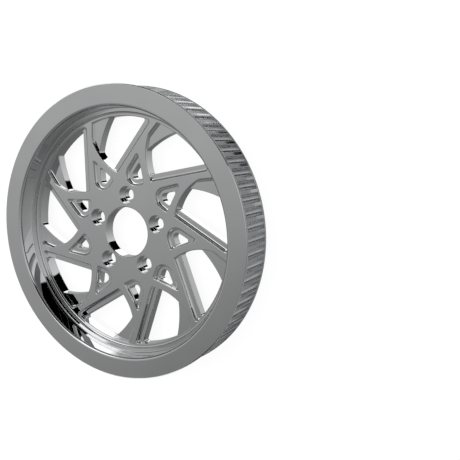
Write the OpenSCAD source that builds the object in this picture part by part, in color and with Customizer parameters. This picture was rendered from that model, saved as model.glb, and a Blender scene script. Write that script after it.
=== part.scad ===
// Toothed belt pulley for the rear wheel of a motorcycle.
// One piece, turned and milled from a single billet, then plated all over.
// The pulley lies on the back face of its rim, with its axis along Z and the dished front up.
// Its origin is on the axis, in the plane of that back face.

/* [Belt] */
// number of teeth around the rim
tooth_count = 70; // [60:1:76]
// distance from tooth to tooth along the belt's cord line
belt_pitch = 14; // [14:14]
// height of the belt's cord line above the tooth tips
cord_line = 1.4; // [1.2:0.1:1.6]
// radius of the round bottom of each tooth groove
groove_r = 4.6; // [4:0.1:5]
// depth of each tooth groove below the tooth tips
groove_depth = 6; // [5:0.1:6.5]
// flat on each side of a groove's mouth where the tooth tip is eased
tip_ease = 0.6; // [0.3:0.1:0.9]
// angle from the X axis to the middle of the first tooth
first_tooth = 0.5; // [0:0.1:5]

/* [Rim] */
// outer diameter of the two flanges that keep the belt on
flange_d = 319; // [316:0.5:324]
// whole width of the rim, over both flanges
rim_w = 44.5; // [40:0.5:50]
// thickness of each flange
flange_t = 2.4; // [2:0.1:3]
// bevel on the outer edge of each flange
flange_bevel = 1.1; // [0.4:0.1:1.2]
// bevel on the edge of each flange that faces the belt
belt_side_bevel = 0.7; // [0.3:0.1:0.8]
// inner radius of the rim's flat front face
face_r = 139.6; // [138:0.2:141]
// radius of the rounded edge between the front face and the wall of the dish
lip_r = 3.2; // [2:0.1:4]
// radius at the foot of the dish's slightly leaning wall
wall_foot_r = 135.6; // [134:0.2:136]
// depth of the narrow shelf at the foot of the dish's wall, below the front face
shelf_depth = 19.1; // [17:0.1:20]
// inner radius of that shelf
shelf_r = 131.2; // [130:0.2:132]
// radius of the hollow behind the spokes
back_hollow_r = 134; // [130:0.5:136]

/* [Hub and spoke plate] */
// depth of the plate's front face below the rim's front face
plate_depth = 22.1; // [21:0.1:24]
// thickness of the plate
plate_t = 13.2; // [12:0.1:14]
// diameter of the centre bore that locates on the wheel hub
bore_d = 55.88; // [50:0.01:60]
// bevel at both ends of the bore
bore_bevel = 0.8; // [0.4:0.1:1.2]
// number of bolts
bolt_count = 5; // [5:5]
// diameter of the bolt circle
bolt_circle_d = 82.55; // [80:0.05:86]
// diameter of each bolt hole
bolt_hole_d = 11.9; // [10:0.1:12.5]
// diameter of the flat seat that each bolt head sinks into
seat_d = 19; // [17:0.1:20]
// depth of that seat
seat_depth = 5.5; // [4:0.1:9]
// bevel around the mouth of each seat
seat_bevel = 0.5; // [0.2:0.1:0.8]
// bevel where each bolt hole opens into its seat
hole_bevel = 0.8; // [0.4:0.1:1]

/* [Spokes and windows] */
// number of spokes, with a window between each two
spoke_count = 9; // [9:9]
// lean of each spoke's straight side
side_lean = 27; // [26:0.5:28]
// distance of the spoke's straight side from the pulley's axis
side_offset = 49.4; // [49:0.1:50]
// width of the milled step along the straight side
step_w = 7.3; // [6:0.1:8]
// depth of all milled steps below the plate's front face
step_depth = 3.4; // [2.5:0.1:4.5]
// radius of the windows' outer ends
window_r = 126.5; // [125:0.1:127]
// centre of the hollow side of each spoke, along X
hollow_x = 120.8; // [120.5:0.1:121.1]
// centre of the hollow side of each spoke, along Y
hollow_y = 12.9; // [12.6:0.1:13.2]
// radius of the hollow side of each spoke
hollow_r = 59.6; // [59:0.1:60]
// centre of the gusset's free edge, along X
gusset_x = 77.9; // [77.5:0.1:78.3]
// centre of the gusset's free edge, along Y
gusset_y = -55.8; // [-56.2:0.1:-55.4]
// radius of the gusset's free edge
gusset_r = 109.6; // [109:0.1:110]
// slope of the arm above the gusset
arm_slope = 8.7; // [8:0.1:10]
// distance of the arm's lower side from the pulley's axis
arm_offset = 50.1; // [49.5:0.1:50.5]

/* [Small holes in the spokes] */
// slope of the hole's long upper side
upper_slope = 24.8; // [23:0.1:26]
// distance of that side from the pulley's axis
upper_offset = 38.9; // [38.5:0.1:39.5]
// slope of the hole's lower side
lower_slope = 23.5; // [22:0.1:25]
// distance of that side from the pulley's axis
lower_offset = 34.7; // [34:0.1:35]
// lean of the hole's side next to the hub
root_lean = 21; // [19:0.5:23]
// distance of that side from the pulley's axis
root_offset = 49.2; // [48.8:0.1:49.6]
// radius of the big round corner next to the hub
root_r = 11.6; // [11:0.1:12]
// width of the milled step inside the hole, on its upper and hub sides
hole_step_w = 6.4; // [5.5:0.1:7]
// width of that step on the hole's lower side
hole_low_step_w = 1.4; // [1:0.1:1.8]

/* [Hidden] */

over = 1;
chrome = [0.74, 0.75, 0.76];
round_fn = 180;
hole_fn = 48;
arc_steps = 8;

pitch_r = tooth_count * belt_pitch / (2 * PI);
tip_r = pitch_r - cord_line;
groove_at = tip_r - groove_depth + groove_r;
band_wall = 4;
band_lap = 2;
band_r = tip_r - groove_depth - band_wall;
band_sunk = flange_t / 2;
core_r = band_r + band_lap;
flange_r = flange_d / 2;
bore_r = bore_d / 2;
plate_top = rim_w - plate_depth;
plate_back = plate_top - plate_t;
shelf_top = rim_w - shelf_depth;
step_top = plate_top - step_depth;
shelf_fillet = shelf_top - plate_top;
wall_foot_fillet = 1.2;
back_fillet = 3;
full_turn = 360;
tooth_angle = full_turn / tooth_count;

sharp_r = 1.5;
inner_corner_r = 2.4;
outer_corner_r = 2.9;
arm_corner_r = 7;
gusset_corner_r = 4;
gusset_end_r = 2.4;
hole_corner_r = 2.1;
hole_through_root_r = 5;

// places near each corner, to pick the right crossing of two sides
near_outer_end = [125, -4];
near_arm_end = [108, 66];
near_gusset_end = [118, 45];
near_arm_bend = [90, 64];
near_gusset_bend = [78, 54];
near_inner_end = [63, 27];
near_hole = [68, 0];

// point at angle a on a circle about c
function on_circle(c, r, a) = c + r * [cos(a), sin(a)];

// points of an arc about c, from angle a to angle b
function arc(c, r, a, b) = [for (i = [0 : arc_steps]) on_circle(c, r, a + (b - a) * i / arc_steps)];

// A side of a window is a straight line [angle of its inward normal, distance] or a round one [x, y, radius].
function straight(s) = len(s) == 2;
function normal(s) = [cos(s[0]), sin(s[0])];
function centre(s) = [s[0], s[1]];
function pull_in(s, t) = straight(s) ? [s[0], s[1] + t] : [s[0], s[1], s[2] - t];
function nearest(p, q, near) = norm(p - near) < norm(q - near) ? p : q;

// crossing of two straight sides
function cross_lines(a, b) =
    [a[1] * sin(b[0]) - b[1] * sin(a[0]), b[1] * cos(a[0]) - a[1] * cos(b[0])] / sin(b[0] - a[0]);

// crossing of a straight side and a round one, the one nearest to a given place
function cross_line_round(a, b, near) =
    let (gap = a[1] - normal(a) * centre(b))
    let (foot = centre(b) + gap * normal(a))
    let (run = sqrt(b[2] * b[2] - gap * gap) * [-sin(a[0]), cos(a[0])])
    nearest(foot + run, foot - run, near);

// crossing of two round sides, the one nearest to a given place
function cross_rounds(a, b, near) =
    let (apart = norm(centre(b) - centre(a)))
    let (along = (centre(b) - centre(a)) / apart)
    let (reach = (a[2] * a[2] - b[2] * b[2] + apart * apart) / (2 * apart))
    let (rise = sqrt(a[2] * a[2] - reach * reach) * [-along[1], along[0]])
    nearest(centre(a) + reach * along + rise, centre(a) + reach * along - rise, near);

function crossing(a, b, near) =
    straight(a) && straight(b) ? cross_lines(a, b)
    : straight(a) ? cross_line_round(a, b, near)
    : straight(b) ? cross_line_round(b, a, near)
    : cross_rounds(a, b, near);

// point of a side that is closest to p
function foot_on(s, p) =
    straight(s) ? p - (normal(s) * p - s[1]) * normal(s)
    : centre(s) + s[2] * (p - centre(s)) / norm(p - centre(s));
function bearing(p, from) = atan2(p[1] - from[1], p[0] - from[0]);
function turn(a, b) = (b - a + 2 * full_turn) % full_turn;

// rounded corner between two sides, as points
function corner(a, b, near, r) =
    let (c = crossing(pull_in(a, r), pull_in(b, r), near))
    let (start = bearing(foot_on(a, c), c))
    arc(c, r, start, start + turn(start, bearing(foot_on(b, c), c)));

// points of a round side between the end of one corner and the start of the next
function round_run(s, p, q) =
    straight(s) ? []
    : let (start = bearing(p, centre(s)))
      let (sweep = turn(start, bearing(q, centre(s))))
      [for (i = [1 : arc_steps - 1]) on_circle(centre(s), s[2], start + sweep * i / arc_steps)];

// closed outline from its sides, taken anticlockwise, and the corner after each side
function outline(sides, nears, radii) =
    let (n = len(sides))
    let (corners = [for (i = [0 : n - 1]) corner(sides[i], sides[(i + 1) % n], nears[i], radii[i])])
    [for (i = [0 : n - 1])
        let (after = (i + 1) % n)
        each concat(corners[i], round_run(sides[after], corners[i][arc_steps], corners[after][0]))];

// sides of the window and of its milled steps
straight_side = [90 - side_lean, side_offset];
through_side = pull_in(straight_side, step_w);
ring_side = [0, 0, window_r];
hollow_side = [hollow_x, hollow_y, hollow_r];
gusset_side = [gusset_x, gusset_y, gusset_r];
arm_side = [arm_slope - 90, -arm_offset];

window_mouth = outline(
    [straight_side, ring_side, arm_side, hollow_side],
    [near_outer_end, near_arm_end, near_arm_bend, near_inner_end],
    [outer_corner_r, sharp_r, arm_corner_r, inner_corner_r]);

window_through = outline(
    [through_side, ring_side, gusset_side, hollow_side],
    [near_outer_end, near_gusset_end, near_gusset_bend, near_inner_end],
    [gusset_end_r, gusset_end_r, gusset_corner_r, sharp_r]);

// sides of the small hole and of its milled step
upper_side = [270 - upper_slope, -upper_offset];
lower_side = [90 + lower_slope, -lower_offset];
root_side = [root_lean, root_offset];

hole_mouth = outline(
    [lower_side, upper_side, root_side],
    [near_hole, near_hole, near_hole],
    [hole_corner_r, root_r, hole_corner_r]);

hole_through = outline(
    [pull_in(lower_side, hole_low_step_w), pull_in(upper_side, hole_step_w), pull_in(root_side, hole_step_w)],
    [near_hole, near_hole, near_hole],
    [hole_corner_r, hole_through_root_r, hole_corner_r]);

// half section of the blank, from the bore outwards and back along the underside
blank_section = concat(
    [[bore_r, plate_back + bore_bevel], [bore_r + bore_bevel, plate_back]],
    arc([back_hollow_r - back_fillet, plate_back - back_fillet], back_fillet, 90, 0),
    [[back_hollow_r, bore_bevel], [back_hollow_r + bore_bevel, 0]],
    [[flange_r - flange_bevel, 0], [flange_r, flange_bevel]],
    [[flange_r, flange_t - belt_side_bevel], [flange_r - belt_side_bevel, flange_t], [core_r, flange_t]],
    [[core_r, rim_w - flange_t], [flange_r - belt_side_bevel, rim_w - flange_t]],
    [[flange_r, rim_w - flange_t + belt_side_bevel], [flange_r, rim_w - flange_bevel]],
    [[flange_r - flange_bevel, rim_w]],
    arc([face_r, rim_w - lip_r], lip_r, 90, 180),
    arc([wall_foot_r - wall_foot_fillet, shelf_top + wall_foot_fillet], wall_foot_fillet, 0, -90),
    arc([shelf_r - shelf_fillet, shelf_top], shelf_fillet, 0, -90),
    [[bore_r + bore_bevel, plate_top], [bore_r, plate_top - bore_bevel]]);

// the turned blank without its teeth
module blank() {
    rotate(first_tooth + tooth_angle / 2)
        rotate_extrude($fn = round_fn)
            polygon(blank_section);
}

// one tooth groove with its eased mouth, through the whole height h
module groove(h) {
    mouth_w = sqrt(groove_r * groove_r - pow(tip_r - groove_at, 2));
    linear_extrude(h) {
        translate([groove_at, 0])
            circle(groove_r, $fn = hole_fn);
        polygon([
            [groove_at, -mouth_w],
            [tip_r - tip_ease, -mouth_w],
            [tip_r + over, -mouth_w - tip_ease - over],
            [tip_r + over, mouth_w + tip_ease + over],
            [tip_r - tip_ease, mouth_w],
            [groove_at, mouth_w]]);
    }
}

// the band that carries the teeth, with both ends sunk in the flanges and its start in a groove
module toothed_band() {
    band_h = rim_w - 2 * band_sunk;
    rotate(first_tooth + tooth_angle / 2)
        translate([0, 0, band_sunk])
            difference() {
                cylinder(r = tip_r, h = band_h, $fn = round_fn);
                translate([0, 0, -over])
                    cylinder(r = band_r, h = band_h + 2 * over, $fn = round_fn);
                for (i = [0 : tooth_count - 1])
                    rotate(i * tooth_angle)
                        translate([0, 0, -over])
                            groove(band_h + 2 * over);
            }
}

// one window: the cut right through, the gusset's step and the step along the straight side
module window() {
    translate([0, 0, plate_back - over])
        linear_extrude(plate_t + 2 * over)
            polygon(window_through);
    translate([0, 0, step_top])
        linear_extrude(step_depth + over)
            polygon(window_mouth);
}

// one small hole with its step
module small_hole() {
    translate([0, 0, plate_back - over])
        linear_extrude(plate_t + 2 * over)
            polygon(hole_through);
    translate([0, 0, step_top])
        linear_extrude(step_depth + over)
            polygon(hole_mouth);
}

module spoke_cuts() {
    for (i = [0 : spoke_count - 1])
        rotate(i * full_turn / spoke_count) {
            window();
            small_hole();
        }
}

// cone that bevels the mouth of a hole of diameter d, and goes on past it
module widening(d, bevel) {
    cylinder(d1 = d, d2 = d + 4 * bevel, h = 2 * bevel, $fn = hole_fn);
}

// bolt holes with their seats, the first one on the Y axis
module bolt_holes() {
    for (i = [0 : bolt_count - 1])
        rotate(90 + i * full_turn / bolt_count)
            translate([bolt_circle_d / 2, 0, plate_back - over]) {
                cylinder(d = bolt_hole_d, h = plate_t + 2 * over, $fn = hole_fn);
                translate([0, 0, over + plate_t - seat_depth])
                    cylinder(d = seat_d, h = seat_depth + over, $fn = hole_fn);
                translate([0, 0, over + plate_t - seat_bevel])
                    widening(seat_d, seat_bevel);
                translate([0, 0, over + plate_t - seat_depth - hole_bevel])
                    widening(bolt_hole_d, hole_bevel);
            }
}

module pulley() {
    color(chrome)
        difference() {
            union() {
                blank();
                toothed_band();
            }
            spoke_cuts();
            bolt_holes();
        }
}

pulley();
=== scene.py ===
import math

import bmesh
import bpy
import numpy as np
from mathutils import Matrix


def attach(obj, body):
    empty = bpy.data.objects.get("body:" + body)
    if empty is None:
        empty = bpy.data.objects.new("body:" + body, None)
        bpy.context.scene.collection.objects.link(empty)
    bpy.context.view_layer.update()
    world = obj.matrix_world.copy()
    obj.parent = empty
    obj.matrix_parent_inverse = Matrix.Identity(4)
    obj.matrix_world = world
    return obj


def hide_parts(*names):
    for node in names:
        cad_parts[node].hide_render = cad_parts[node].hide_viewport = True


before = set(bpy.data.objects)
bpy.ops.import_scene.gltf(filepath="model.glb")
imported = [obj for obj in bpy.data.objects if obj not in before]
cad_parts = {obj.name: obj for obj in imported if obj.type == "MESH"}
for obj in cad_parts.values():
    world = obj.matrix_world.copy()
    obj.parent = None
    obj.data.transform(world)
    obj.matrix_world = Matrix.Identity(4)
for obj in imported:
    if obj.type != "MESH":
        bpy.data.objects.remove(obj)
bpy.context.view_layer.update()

MM = 0.001

# ---------------------------------------------------------------- sizes, in mm, as in the CAD source
TEETH = 70
PITCH = 14.0
TIP_R = TEETH * PITCH / (2 * math.pi) - 1.4
GROOVE_R = 4.6
GROOVE_DEPTH = 6.0
TIP_ROUND = 0.8
FIRST_TOOTH = 0.5
RIM_W = 44.5
FLANGE_R = 159.5
FLANGE_T = 2.4
FLANGE_BEVEL = 1.1
BELT_BEVEL = 0.7
CORE_R = 146.6
LIP_IN = 136.4
LIP_R = 3.2
WALL_FOOT_R = 135.6
SHELF_TOP = 25.4
SHELF_R = 131.2
PLATE_TOP = 22.4
PLATE_BACK = 9.2
STEP_TOP = 19.0
BACK_R = 134.0
BORE_R = 27.94
BORE_BEVEL = 0.8
BOLTS = 5
BOLT_CIRCLE_R = 41.275
BOLT_HOLE_R = 5.95
SEAT_R = 9.5
SEAT_DEPTH = 5.5
SPOKES = 9

# how far in the toothed band reaches, inside the rim
BAND_IN_R = 0.9409 * TIP_R
# steps around the turned blank, and where the first lies, in degrees
REVOLVE = 320
REVOLVE_FROM = 0.5

# rounded edges and coves, which the CAD source leaves square
EDGE = 1.0
COVE = 3.4
COVE_H = 2.35
LOWER_EDGE = 0.6
SMALL_EDGE = 0.5
SEAT_COVE = 0.4
SEAT_EDGE = 0.6
HOLE_EDGE = 0.9
HOLE_BACK_EDGE = 0.5
EDGE_STOP = 82.0
EDGE_PAST = 0.05


# ---------------------------------------------------------------- plane outlines
def polar(c, r, a):
    return (c[0] + r * math.cos(a), c[1] + r * math.sin(a))


def is_line(s):
    return len(s) == 2


def line(angle, dist):
    return (math.radians(angle), dist)


def pull(s, t):
    return (s[0], s[1] + t) if is_line(s) else (s[0], s[1], s[2] - t)


def nearest(p, q, near):
    return p if math.dist(p, near) < math.dist(q, near) else q


def crossing(a, b, near):
    """Where two sides of an outline meet: lines (inward normal's angle, distance) or circles (x, y, r)."""
    if is_line(a) and is_line(b):
        d = math.sin(b[0] - a[0])
        x = a[1] * math.sin(b[0]) - b[1] * math.sin(a[0])
        y = b[1] * math.cos(a[0]) - a[1] * math.cos(b[0])
        return (x / d, y / d)
    if is_line(b):
        a, b = b, a
    if is_line(a):
        n = (math.cos(a[0]), math.sin(a[0]))
        gap = a[1] - n[0] * b[0] - n[1] * b[1]
        run = math.sqrt(b[2] ** 2 - gap ** 2)
        m = (b[0] + gap * n[0], b[1] + gap * n[1])
        return nearest((m[0] - run * n[1], m[1] + run * n[0]), (m[0] + run * n[1], m[1] - run * n[0]), near)
    apart = math.dist(a[:2], b[:2])
    u = ((b[0] - a[0]) / apart, (b[1] - a[1]) / apart)
    reach = (a[2] ** 2 - b[2] ** 2 + apart ** 2) / (2 * apart)
    rise = math.sqrt(a[2] ** 2 - reach ** 2)
    m = (a[0] + reach * u[0], a[1] + reach * u[1])
    return nearest((m[0] - rise * u[1], m[1] + rise * u[0]), (m[0] + rise * u[1], m[1] - rise * u[0]), near)


def foot_on(s, p):
    """The point of side s that lies nearest to p."""
    if is_line(s):
        n = (math.cos(s[0]), math.sin(s[0]))
        t = n[0] * p[0] + n[1] * p[1] - s[1]
        return (p[0] - t * n[0], p[1] - t * n[1])
    d = math.dist(p, s[:2])
    return (s[0] + s[2] * (p[0] - s[0]) / d, s[1] + s[2] * (p[1] - s[1]) / d)


def bearing(p, c):
    return math.atan2(p[1] - c[1], p[0] - c[0])


def turn(a, b):
    return (b - a) % (2 * math.pi)


def outline(sides, nears, radii, corner_n=8, side_n=14):
    """Closed outline; corner i, near nears[i], joins sides i and i + 1. The number of points never changes."""
    n = len(sides)
    corners = []
    for i in range(n):
        a, b, r = sides[i], sides[(i + 1) % n], radii[i]
        c = crossing(pull(a, r), pull(b, r), nears[i])
        start = bearing(foot_on(a, c), c)
        sweep = turn(start, bearing(foot_on(b, c), c))
        corners.append([polar(c, r, start + sweep * k / corner_n) for k in range(corner_n + 1)])
    out = []
    for i in range(n):
        side = sides[(i + 1) % n]
        p, q = corners[i][-1], corners[(i + 1) % n][0]
        out += corners[i]
        if is_line(side):
            continue
        start = bearing(p, side[:2])
        sweep = turn(start, bearing(q, side[:2]))
        out += [polar(side[:2], side[2], start + sweep * k / side_n) for k in range(1, side_n)]
    return out


# sides of a window and of its milled steps
SIDE = line(63.0, 49.4)
RING = (0.0, 0.0, 126.5)
HOLLOW = (120.8, 12.9, 59.6)
GUSSET = (77.9, -55.8, 109.6)
ARM = line(-81.3, -50.1)
STEP_W = 7.3
NEAR_OUTER, NEAR_ARM, NEAR_GUSSET = (125, -4), (108, 66), (118, 45)
NEAR_ARM_BEND, NEAR_GUSSET_BEND, NEAR_INNER = (90, 64), (78, 54), (63, 27)

# sides of a small hole
LOWER = line(113.5, -34.7)
UPPER = line(245.2, -38.9)
ROOT = line(21.0, 49.2)
NEAR_HOLE = (68, 0)
HOLE_CORNER = 2.1
ROOT_CORNER = 11.6
ROOT_CORNER_THROUGH = 5.0
HOLE_STEP = 6.4
HOLE_STEP_LOWER = 1.4


def window_mouth(side=0.0, ring=0.0, arm=0.0, hollow=0.0):
    return outline(
        [pull(SIDE, side), pull(RING, ring), pull(ARM, arm), pull(HOLLOW, hollow)],
        [NEAR_OUTER, NEAR_ARM, NEAR_ARM_BEND, NEAR_INNER],
        [2.9, 1.5, 7.0, 2.4])


def window_through(side=0.0, ring=0.0, gusset=0.0, hollow=0.0):
    return outline(
        [pull(SIDE, STEP_W + side), pull(RING, ring), pull(GUSSET, gusset), pull(HOLLOW, hollow)],
        [NEAR_OUTER, NEAR_GUSSET, NEAR_GUSSET_BEND, NEAR_INNER],
        [2.4, 2.4, 4.0, 1.5])


def hole_mouth(lower=0.0, upper=0.0, root=0.0):
    return outline(
        [pull(LOWER, lower), pull(UPPER, upper), pull(ROOT, root)],
        [NEAR_HOLE] * 3,
        [HOLE_CORNER, ROOT_CORNER - root, HOLE_CORNER])


def hole_through(t=0.0):
    return outline(
        [pull(LOWER, HOLE_STEP_LOWER + t), pull(UPPER, HOLE_STEP + t), pull(ROOT, HOLE_STEP + t)],
        [NEAR_HOLE] * 3,
        [HOLE_CORNER, ROOT_CORNER_THROUGH, HOLE_CORNER])


def ring_outline(c, r, n=64):
    return [polar(c, r, 2 * math.pi * k / n) for k in range(n)]


# ---------------------------------------------------------------- rounded edges
def edge_up(top, r, n=6):
    """(z, growth) of an opening's rounded edge, from the wall up to a face and a little past it."""
    stop = math.radians(EDGE_STOP)
    out = [(top - r + r * math.sin(stop * k / n), r * (1 - math.cos(stop * k / n))) for k in range(n + 1)]
    z, g = out[-1]
    rise = top + EDGE_PAST - z
    return out + [(z + rise, g + rise * math.tan(stop))]


def edge_down(base, r):
    """The same for an edge on a face that looks down, listed from below upwards."""
    return [(2 * base - z, g) for z, g in reversed(edge_up(base, r))]


def foot(base, r, n=6, height=None):
    """(z, shrink) of a milled pocket's cove, from its floor up to its wall or to a given height."""
    stop = 0.5 * math.pi if height is None else math.acos(1 - height / r)
    turns = [stop * k / n for k in range(n + 1)]
    return [(base + r * (1 - math.cos(t)), r * (math.sin(stop) - math.sin(t))) for t in turns]


# ---------------------------------------------------------------- mesh helpers
class Shape:
    """Vertices and faces of a closed mesh, gathered part by part."""

    def __init__(self):
        self.v, self.f = [], []

    def loft(self, levels):
        """levels: [(z, outline)], from below upwards, all outlines with the same number of points."""
        n, base = len(levels[0][1]), len(self.v)
        for z, pts in levels:
            self.v += [(x, y, z) for x, y in pts]
        for k in range(len(levels) - 1):
            for i in range(n):
                j = (i + 1) % n
                a, b = base + k * n, base + (k + 1) * n
                self.f.append((a + i, a + j, b + j, b + i))
        self.f.append(tuple(base + i for i in reversed(range(n))))
        self.f.append(tuple(base + (len(levels) - 1) * n + i for i in range(n)))

    def revolve(self, profile, count, phase):
        """profile: closed [(r, z)]; phase: the angle of the first of its copies."""
        n, base = len(profile), len(self.v)
        for k in range(count):
            a = phase + 2 * math.pi * k / count
            self.v += [(r * math.cos(a), r * math.sin(a), z) for r, z in profile]
        for k in range(count):
            a, b = base + k * n, base + ((k + 1) % count) * n
            for i in range(n):
                j = (i + 1) % n
                self.f.append((a + i, b + i, b + j, a + j))

    def mesh(self, name):
        me = bpy.data.meshes.new(name)
        me.from_pydata([(x * MM, y * MM, z * MM) for x, y, z in self.v], [], self.f)
        bm = bmesh.new()
        bm.from_mesh(me)
        bmesh.ops.recalc_face_normals(bm, faces=bm.faces)
        bm.to_mesh(me)
        bm.free()
        me.update()
        return me


def turned(levels, a):
    """Levels of a loft, turned about the pulley's axis by a."""
    c, s = math.cos(a), math.sin(a)
    return [(z, [(x * c - y * s, x * s + y * c) for x, y in pts]) for z, pts in levels]


def rounded(points, n=4):
    """Closed path from corners (r, z, radius), each corner rounded with n steps."""
    out = []
    m = len(points)
    for i in range(m):
        p = np.array(points[i][:2])
        rho = points[i][2]
        u = np.array(points[i - 1][:2]) - p
        v = np.array(points[(i + 1) % m][:2]) - p
        u, v = u / np.linalg.norm(u), v / np.linalg.norm(v)
        half = math.acos(max(-1.0, min(1.0, float(u @ v)))) / 2
        if rho <= 0 or half > math.radians(89.9):
            out.append(tuple(p))
            continue
        cut = rho / math.tan(half)
        mid = (u + v) / np.linalg.norm(u + v)
        c = p + mid * rho / math.sin(half)
        s, e = p + u * cut - c, p + v * cut - c
        a0, a1 = math.atan2(s[1], s[0]), math.atan2(e[1], e[0])
        sweep = (a1 - a0 + math.pi) % (2 * math.pi) - math.pi
        steps = n if rho < 1 else 2 * n
        out += [polar(c, rho, a0 + sweep * k / steps) for k in range(steps + 1)]
    return out


def make_object(name, me):
    ob = bpy.data.objects.new(name, me)
    bpy.context.scene.collection.objects.link(ob)
    return ob


# ---------------------------------------------------------------- the turned blank
blank_profile = rounded([
    (BORE_R, PLATE_BACK + BORE_BEVEL, 0.3),
    (BORE_R + BORE_BEVEL, PLATE_BACK, 0.3),
    (BACK_R, PLATE_BACK, 3.0),
    (BACK_R, 0.8, 0.3),
    (BACK_R + 0.8, 0.0, 0.3),
    (FLANGE_R - FLANGE_BEVEL, 0.0, 0.35),
    (FLANGE_R, FLANGE_BEVEL, 0.3),
    (FLANGE_R, FLANGE_T - BELT_BEVEL, 0.25),
    (FLANGE_R - BELT_BEVEL, FLANGE_T, 0.25),
    (CORE_R, FLANGE_T, 0.0),
    (CORE_R, RIM_W - FLANGE_T, 0.0),
    (FLANGE_R - BELT_BEVEL, RIM_W - FLANGE_T, 0.25),
    (FLANGE_R, RIM_W - FLANGE_T + BELT_BEVEL, 0.25),
    (FLANGE_R, RIM_W - FLANGE_BEVEL, 0.3),
    (FLANGE_R - FLANGE_BEVEL, RIM_W, 0.35),
    (LIP_IN, RIM_W, LIP_R),
    (WALL_FOOT_R, SHELF_TOP, 1.2),
    (SHELF_R, SHELF_TOP, 0.35),
    (SHELF_R, PLATE_TOP, 2.6),
    (BORE_R + BORE_BEVEL, PLATE_TOP, 0.3),
    (BORE_R, PLATE_TOP - BORE_BEVEL, 0.3),
])
blank = Shape()
blank.revolve(blank_profile, REVOLVE, math.radians(REVOLVE_FROM))
body = make_object("pulley_body", blank.mesh("pulley_body"))

# ---------------------------------------------------------------- what is milled and drilled out of it
pockets = Shape()
throughs = Shape()
for k in range(SPOKES):
    a = 2 * math.pi * k / SPOKES
    levels = [(z, window_mouth(side=g, arm=g)) for z, g in foot(STEP_TOP, COVE, 9, COVE_H)]
    levels += [(z, window_mouth(-g, -g, -g, -g)) for z, g in edge_up(PLATE_TOP, EDGE)]
    pockets.loft(turned(levels, a))

    levels = [(z, hole_mouth(0.25 * g, g, g)) for z, g in foot(STEP_TOP, COVE, 9, COVE_H)]
    levels += [(z, hole_mouth(-g, -g, -g)) for z, g in edge_up(PLATE_TOP, EDGE)]
    pockets.loft(turned(levels, a))

    levels = [(z, window_through(-g, -g, -g, -g)) for z, g in edge_down(PLATE_BACK, LOWER_EDGE)]
    # its ring and hollow sides are the mouth's own walls, so there it stays just inside them
    levels += [(z, window_through(-g, 0.02, -g, 0.02)) for z, g in edge_up(STEP_TOP, LOWER_EDGE)]
    throughs.loft(turned(levels, a))

    levels = [(z, hole_through(-g)) for z, g in edge_down(PLATE_BACK, SMALL_EDGE)]
    levels += [(z, hole_through(-g)) for z, g in edge_up(STEP_TOP, SMALL_EDGE)]
    throughs.loft(turned(levels, a))

seat_z = PLATE_TOP - SEAT_DEPTH
for k in range(BOLTS):
    a = math.pi / 2 + 2 * math.pi * k / BOLTS
    c = polar((0, 0), BOLT_CIRCLE_R, a)
    levels = [(z, ring_outline(c, SEAT_R - g)) for z, g in foot(seat_z, SEAT_COVE)]
    levels += [(z, ring_outline(c, SEAT_R + g)) for z, g in edge_up(PLATE_TOP, SEAT_EDGE)]
    pockets.loft(levels)
    levels = [(z, ring_outline(c, BOLT_HOLE_R + g)) for z, g in edge_down(PLATE_BACK, HOLE_BACK_EDGE)]
    levels += [(z, ring_outline(c, BOLT_HOLE_R + g)) for z, g in edge_up(seat_z, HOLE_EDGE)]
    throughs.loft(levels)


def cut(ob, cutter_shape, name):
    cutter = make_object(name, cutter_shape.mesh(name))
    mod = ob.modifiers.new(name, "BOOLEAN")
    mod.operation = "DIFFERENCE"
    mod.solver = "EXACT"
    mod.object = cutter
    dg = bpy.context.evaluated_depsgraph_get()
    me = bpy.data.meshes.new_from_object(ob.evaluated_get(dg))
    ob.modifiers.clear()
    old = ob.data
    ob.data = me
    bpy.data.meshes.remove(old)
    bpy.data.objects.remove(cutter)


cut(body, pockets, "pockets")
cut(body, throughs, "throughs")

# ---------------------------------------------------------------- the toothed band
groove_at = TIP_R - GROOVE_DEPTH + GROOVE_R
half_pitch = math.pi / TEETH


def half_tooth():
    """From the middle of a groove to the tooth's tip, as (radius, angle)."""
    # the tip's round edge touches the tip circle and the groove's circle
    cx = TIP_R - TIP_ROUND
    cy = math.sqrt((GROOVE_R + TIP_ROUND) ** 2 - (cx - groove_at) ** 2)
    touch = math.atan2(cy, cx - groove_at)
    pts = [polar((groove_at, 0), GROOVE_R, b) for b in np.linspace(math.pi, touch, 17)]
    pts += [polar((cx, cy), TIP_ROUND, b) for b in np.linspace(touch - math.pi, math.atan2(cy, cx), 8)][1:]
    return [(math.hypot(x, y), math.atan2(y, x)) for x, y in pts]


half = half_tooth()
one = half + [(TIP_R, half_pitch)] + [(r, 2 * half_pitch - a) for r, a in reversed(half)][:-1]
band_pts = []
first_groove = math.radians(FIRST_TOOTH) + half_pitch
for k in range(TEETH):
    base = first_groove + 2 * half_pitch * k
    band_pts += [polar((0, 0), r, base + a) for r, a in one]
band = Shape()
z0, z1 = FLANGE_T / 2, RIM_W - FLANGE_T / 2
inner = [(x * BAND_IN_R / math.hypot(x, y), y * BAND_IN_R / math.hypot(x, y)) for x, y in band_pts]
n = len(band_pts)
band.v = [(x, y, z) for z in (z0, z1) for x, y in band_pts] + [(x, y, z) for z in (z0, z1) for x, y in inner]
for i in range(n):
    j = (i + 1) % n
    band.f += [
        (i, j, n + j, n + i),
        (2 * n + j, 2 * n + i, 3 * n + i, 3 * n + j),
        (j, i, 2 * n + i, 2 * n + j),
        (n + i, n + j, 3 * n + j, 3 * n + i)]
belt_band = make_object("pulley_teeth", band.mesh("pulley_teeth"))


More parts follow.
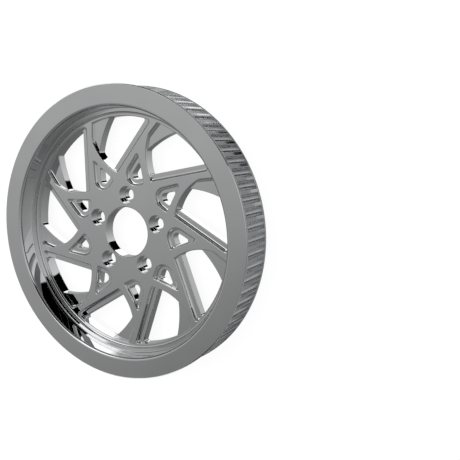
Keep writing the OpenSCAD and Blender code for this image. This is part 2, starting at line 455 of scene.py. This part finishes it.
# ---------------------------------------------------------------- shading normals
def set_normals(ob, sharp=32.0):
    """Flat faces and straight walls keep their own normal, and their rounded edges blend into them."""
    me = ob.data
    n_loop, n_poly, n_vert = len(me.loops), len(me.polygons), len(me.vertices)
    vert = np.empty(n_loop, np.int32)
    me.loops.foreach_get("vertex_index", vert)
    start = np.empty(n_poly, np.int32)
    total = np.empty(n_poly, np.int32)
    area = np.empty(n_poly)
    normal = np.empty(n_poly * 3)
    me.polygons.foreach_get("loop_start", start)
    me.polygons.foreach_get("loop_total", total)
    me.polygons.foreach_get("area", area)
    me.polygons.foreach_get("normal", normal)
    normal = normal.reshape(-1, 3)
    face = np.repeat(np.arange(n_poly), total)
    co = np.empty(n_vert * 3)
    me.vertices.foreach_get("co", co)
    co = co.reshape(-1, 3)
    # weights: the angle of each face's corner
    loop = np.arange(n_loop)
    first = np.repeat(start, total)
    length = np.repeat(total, total)
    nxt = first + (loop - first + 1) % length
    prv = first + (loop - first - 1) % length
    p = co[vert]
    u, v = co[vert[nxt]] - p, co[vert[prv]] - p
    lu, lv = np.linalg.norm(u, axis=1), np.linalg.norm(v, axis=1)
    ok = (lu > 1e-9) & (lv > 1e-9)
    cosang = np.where(ok, (u * v).sum(1) / np.maximum(lu * lv, 1e-18), 1.0)
    weight = np.arccos(np.clip(cosang, -1, 1)) + 1e-6
    weight[area[face] < 1e-12] *= 1e-3
    # level faces lead, then upright walls, then all the rest
    nz = np.abs(normal[:, 2])
    rank = np.where(nz > 0.99999, 0, np.where(nz < 1e-3, 1, 2))
    order = np.argsort(vert, kind="stable")
    bounds = np.searchsorted(vert[order], np.arange(n_vert + 1))
    out = normal[face].copy()
    limit = math.cos(math.radians(sharp))
    for i in range(n_vert):
        loops = order[bounds[i]:bounds[i + 1]]
        m = len(loops)
        if m < 2:
            continue
        fn = normal[face[loops]]
        near = fn @ fn.T > limit
        # faces joined by a chain of small turns share a normal
        for _ in range(m):
            grown = (near.astype(np.int8) @ near.astype(np.int8)) > 0
            if (grown == near).all():
                break
            near = grown
        w = weight[loops]
        rk = rank[face[loops]]
        for q in range(m):
            grp = near[q]
            best = rk[grp].min()
            pick = grp & (rk == best)
            s = (fn[pick] * w[pick, None]).sum(0)
            ln = np.linalg.norm(s)
            if ln > 1e-9:
                out[loops[q]] = s / ln
    me.shade_smooth()
    me.normals_split_custom_set(out.tolist())


set_normals(body)
set_normals(belt_band, 28.0)


# ---------------------------------------------------------------- material helpers
def empty_material(name):
    mat = bpy.data.materials.new(name)
    mat.use_nodes = True
    nt = mat.node_tree
    nt.nodes.clear()
    return mat, nt, nt.nodes.new("ShaderNodeOutputMaterial")


def calc(nt, op, a, b=0.0):
    """Output of a math node; a and b are sockets or numbers."""
    node = nt.nodes.new("ShaderNodeMath")
    node.operation = op
    for socket, value in zip(node.inputs, (a, b)):
        if isinstance(value, float):
            socket.default_value = value
        else:
            nt.links.new(value, socket)
    return node.outputs[0]


# ---------------------------------------------------------------- polished chrome
TINT_A = (0.790, 0.797, 0.806, 1.0)
TINT_B = (0.835, 0.840, 0.846, 1.0)
POLISH = (0.012, 0.035)
BELT_HAZE = 0.24
BELT_SIDE_R = 147.0
WAVE = 0.02
WAVE_DEPTH = 0.6


def chrome_material():
    mat, nt, out = empty_material("polished_chrome")
    bsdf = nt.nodes.new("ShaderNodeBsdfPrincipled")
    bsdf.inputs["Metallic"].default_value = 1.0
    nt.links.new(bsdf.outputs[0], out.inputs[0])
    coord = nt.nodes.new("ShaderNodeTexCoord")

    def noise(scale, detail, rough=0.5):
        t = nt.nodes.new("ShaderNodeTexNoise")
        t.inputs["Scale"].default_value = scale
        t.inputs["Detail"].default_value = detail
        t.inputs["Roughness"].default_value = rough
        nt.links.new(coord.outputs["Object"], t.inputs["Vector"])
        return t.outputs["Fac"]

    def remap(socket, low, high):
        """The noise's usual range, 0.3 to 0.7, stretched from low to high."""
        r = nt.nodes.new("ShaderNodeMapRange")
        r.inputs["From Min"].default_value = 0.3
        r.inputs["From Max"].default_value = 0.7
        r.inputs["To Min"].default_value = low
        r.inputs["To Max"].default_value = high
        nt.links.new(socket, r.inputs["Value"])
        return r.outputs["Result"]

    # faint unevenness of the plating's colour
    tint = nt.nodes.new("ShaderNodeMix")
    tint.data_type = "RGBA"
    tint.inputs["A"].default_value = TINT_A
    tint.inputs["B"].default_value = TINT_B
    nt.links.new(remap(noise(22.0, 4.0), 0.0, 1.0), tint.inputs["Factor"])
    nt.links.new(tint.outputs["Result"], bsdf.inputs["Base Color"])

    # polish: a little hazier in places, and left duller between the flanges, where the belt runs
    xyz = nt.nodes.new("ShaderNodeSeparateXYZ")
    nt.links.new(coord.outputs["Object"], xyz.inputs[0])
    x, y, z = xyz.outputs
    radius = calc(nt, "SQRT", calc(nt, "ADD", calc(nt, "MULTIPLY", x, x), calc(nt, "MULTIPLY", y, y)))
    off_middle = calc(nt, "ABSOLUTE", calc(nt, "SUBTRACT", z, RIM_W / 2 * MM))
    belt_side = calc(
        nt, "MULTIPLY",
        calc(nt, "GREATER_THAN", radius, BELT_SIDE_R * MM),
        calc(nt, "LESS_THAN", off_middle, (RIM_W / 2 - FLANGE_T) * MM))
    polish = remap(noise(60.0, 6.0, 0.6), *POLISH)
    haze = calc(nt, "MULTIPLY", belt_side, BELT_HAZE)
    nt.links.new(calc(nt, "ADD", polish, haze), bsdf.inputs["Roughness"])

    # slow waviness left by hand polishing
    bump = nt.nodes.new("ShaderNodeBump")
    bump.inputs["Strength"].default_value = WAVE
    bump.inputs["Distance"].default_value = WAVE_DEPTH * MM
    nt.links.new(noise(90.0, 2.0), bump.inputs["Height"])
    nt.links.new(bump.outputs["Normal"], bsdf.inputs["Normal"])
    return mat


chrome = chrome_material()
for ob in (body, belt_band):
    ob.data.materials.clear()
    ob.data.materials.append(chrome)
    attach(ob, "root")
    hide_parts("pulley")


# ---------------------------------------------------------------- floor
FLOOR_SHARE = 0.93
FLOOR_R = 9000.0
FLOOR_N = 96
FLOOR_DROP = 0.4
UNDER_R = 255.0


def ring_faces(rows, n):
    """Faces between rows + 1 rings of n points each."""
    return [
        (low + j, low + (j + 1) % n, low + n + (j + 1) % n, low + n + j)
        for low in range(0, rows * n, n) for j in range(n)]


def floor_material():
    """White to the camera, in reflections and through glass, over a matt paint that keeps the shadow."""
    mat, nt, out = empty_material("pale_floor")
    glow = nt.nodes.new("ShaderNodeEmission")
    glow.inputs["Color"].default_value = (1, 1, 1, 1)
    glow.inputs["Strength"].default_value = 1.0
    paint = nt.nodes.new("ShaderNodeBsdfDiffuse")
    paint.inputs["Color"].default_value = (0.8, 0.8, 0.8, 1)
    mix = nt.nodes.new("ShaderNodeMixShader")
    path = nt.nodes.new("ShaderNodeLightPath")
    seen = path.outputs["Is Camera Ray"]
    for ray in ("Is Glossy Ray", "Is Transmission Ray"):
        seen = calc(nt, "MAXIMUM", seen, path.outputs[ray])
    nt.links.new(calc(nt, "MULTIPLY", seen, FLOOR_SHARE), mix.inputs["Fac"])
    nt.links.new(paint.outputs[0], mix.inputs[1])
    nt.links.new(glow.outputs[0], mix.inputs[2])
    nt.links.new(mix.outputs[0], out.inputs[0])
    return mat


def floor_piece(name, points, faces):
    shape = Shape()
    shape.v = [(x, y, 0) for x, y in points]
    shape.f = faces
    ob = make_object(name, shape.mesh(name))
    ob.location.z = -FLOOR_DROP * MM
    ob.data.materials.append(pale)
    return ob


# the chrome mirrors the open floor, but not the round patch under the pulley, where cards stand in
pale = floor_material()
under_edge = ring_outline((0, 0), UNDER_R, FLOOR_N)
floor_piece("floor", under_edge + ring_outline((0, 0), FLOOR_R, FLOOR_N), ring_faces(1, FLOOR_N))
under = floor_piece("floor_under", under_edge, [tuple(range(FLOOR_N))])
under.visible_glossy = False

# ---------------------------------------------------------------- studio cards, seen only in the chrome
# tones are linear brightness; directions and heights are in degrees, as seen from the pulley
GREY_SWEEP = [
    (-180, 0.41), (-150, 0.28), (-125, 0.15), (-85, 0.135), (-50, 0.18), (-10, 0.34), (40, 0.66), (180, 0.41)]
BLACK_CARD = (42.5, 89.0)
WHITE_CARD = (89.0, 138.0)
WHITE_TONE = 1.3
CARD_SOFT = 1.6
WHITE_FADE = 12.0
# from this height up the black card's far side reaches further round
LEAN = 14.0
LEAN_FROM = -40.0
LEAN_SOFT = 8.0
LEAN_FADE = 40.0
LEAN_KEEP = 20.0
# share of the tone by height: dark along the horizon, with a lighter strip above that
BY_HEIGHT = [(-36, 1.0), (-26, 0.06), (18, 0.06), (26, 0.3), (30, 1.25), (36, 1.25), (41, 1.0)]
# an even grey just above the horizon, and another overhead
LOW_SKY = 0.26
LOW_SKY_FROM, LOW_SKY_TO, LOW_SKY_SOFT = 6.0, 22.0, 8.0
OVERHEAD = 0.36
OVERHEAD_FROM, OVERHEAD_SOFT = 66.0, 16.0

DOME_R = 4000.0
ROWS, COLS = 160, 720

# a ring card around the pulley, just above the floor, for the belt's side
SIDE_R = (150.0, 260.0)
SIDE_Z = -0.2
SIDE_TONES = [
    (-180, 0.30), (-60, 0.22), (-20, 0.24), (20, 0.26), (50, 0.26), (70, 0.55), (95, 0.60), (180, 0.30)]


def by_table(x, table):
    return np.interp(x, [p[0] for p in table], [p[1] for p in table])


def ramp(x, start, width):
    """0 up to start and 1 from start + width on, with a soft change between."""
    t = np.clip((x - start) / width, 0.0, 1.0)
    return t * t * (3 - 2 * t)


def span(x, ends, soft_in, soft_out):
    """1 between the two ends and 0 outside them, with a soft change centred on each."""
    return ramp(x, ends[0] - soft_in / 2, soft_in) * (1 - ramp(x, ends[1] - soft_out / 2, soft_out))


def by_direction(a):
    """Tone of the surroundings in compass direction a, without regard to height."""
    tone = by_table(a, GREY_SWEEP)
    tone = tone + (WHITE_TONE - tone) * span(a, WHITE_CARD, CARD_SOFT, WHITE_FADE)
    return tone * (1 - span(a, BLACK_CARD, CARD_SOFT, CARD_SOFT))


def surroundings(a, e):
    """Tones that the chrome sees in compass directions a at height e."""
    lean = LEAN * ramp(e, LEAN_FROM, LEAN_SOFT) * (1 - ramp(a, BLACK_CARD[1] + LEAN, LEAN_FADE))
    keep = BLACK_CARD[1] - LEAN_KEEP
    tone = by_direction(np.where(a > keep, np.maximum(a - lean, keep), a)) * by_table(e, BY_HEIGHT)
    low = ramp(e, LOW_SKY_FROM, LOW_SKY_SOFT) * (1 - ramp(e, LOW_SKY_TO, LOW_SKY_SOFT))
    tone = tone + (LOW_SKY - tone) * low
    return tone + (OVERHEAD - tone) * ramp(e, OVERHEAD_FROM, OVERHEAD_SOFT)


def card(name, rings, tones):
    """A glowing card that shows only in reflections; rings: [(radius, z)], with COLS points in each."""
    points = [(*polar((0, 0), r * MM, 2 * math.pi * k / COLS), z * MM) for r, z in rings for k in range(COLS)]
    me = bpy.data.meshes.new(name)
    me.from_pydata(points, [], ring_faces(len(rings) - 1, COLS))
    attr = me.color_attributes.new("tone", "FLOAT_COLOR", "POINT")
    attr.data.foreach_set("color", np.repeat(np.concatenate(tones).astype(np.float32), 4))
    mat, nt, out = empty_material(name)
    glow = nt.nodes.new("ShaderNodeEmission")
    tone = nt.nodes.new("ShaderNodeAttribute")
    tone.attribute_name = "tone"
    nt.links.new(tone.outputs["Color"], glow.inputs["Color"])
    nt.links.new(glow.outputs[0], out.inputs[0])
    me.materials.append(mat)
    ob = make_object(name, me)
    ob.visible_camera = False
    ob.visible_shadow = False
    ob.visible_diffuse = False


compass = (360.0 * np.arange(COLS) / COLS + 180.0) % 360.0 - 180.0
heights = [-90.0 + 180.0 * i / ROWS for i in range(ROWS + 1)]
dome_rings = [(DOME_R * math.cos(math.radians(e)), DOME_R * math.sin(math.radians(e))) for e in heights]
card("studio_dome", dome_rings, [surroundings(compass, e) for e in heights])
card("side_card", [(r, SIDE_Z) for r in SIDE_R], [by_table(compass, SIDE_TONES)] * 2)

# ---------------------------------------------------------------- lamp, world and camera
# one broad lamp overhead lights the floor; the chrome sees the cards in its place
lamp_data = bpy.data.lights.new("overhead", "AREA")
lamp_data.shape = "DISK"
lamp_data.size = 2.4
lamp_data.energy = 60.0
lamp = make_object("overhead", lamp_data)
lamp.location = (-0.5, 0.6, 2.2)
lamp.visible_glossy = False
lamp.visible_camera = False

world = bpy.data.worlds.new("white")
world.use_nodes = True
world.node_tree.nodes["Background"].inputs["Color"].default_value = (1, 1, 1, 1)
world.node_tree.nodes["Background"].inputs["Strength"].default_value = 1.0
bpy.context.scene.world = world

# the photograph's view, fitted to the pulley's circles: the camera's axes and its place in metres
LENS = 49.381
RIGHT = (0.886482, 0.030143, -0.461780)
UP = (-0.104642, 0.985087, -0.136580)
BACK = (0.450776, 0.169397, 0.876416)
PLACE = (0.41506, 0.12381, 0.57934)
cam_data = bpy.data.cameras.new("camera")
cam_data.sensor_width = 36.0
cam_data.lens = LENS
cam_data.clip_start = 0.01
cam_data.clip_end = 50.0
cam = make_object("camera", cam_data)
cam.matrix_world = Matrix([*zip(RIGHT, UP, BACK, PLACE), (0, 0, 0, 1)])
bpy.context.scene.camera = cam
bpy.context.scene.view_settings.view_transform = "Standard"
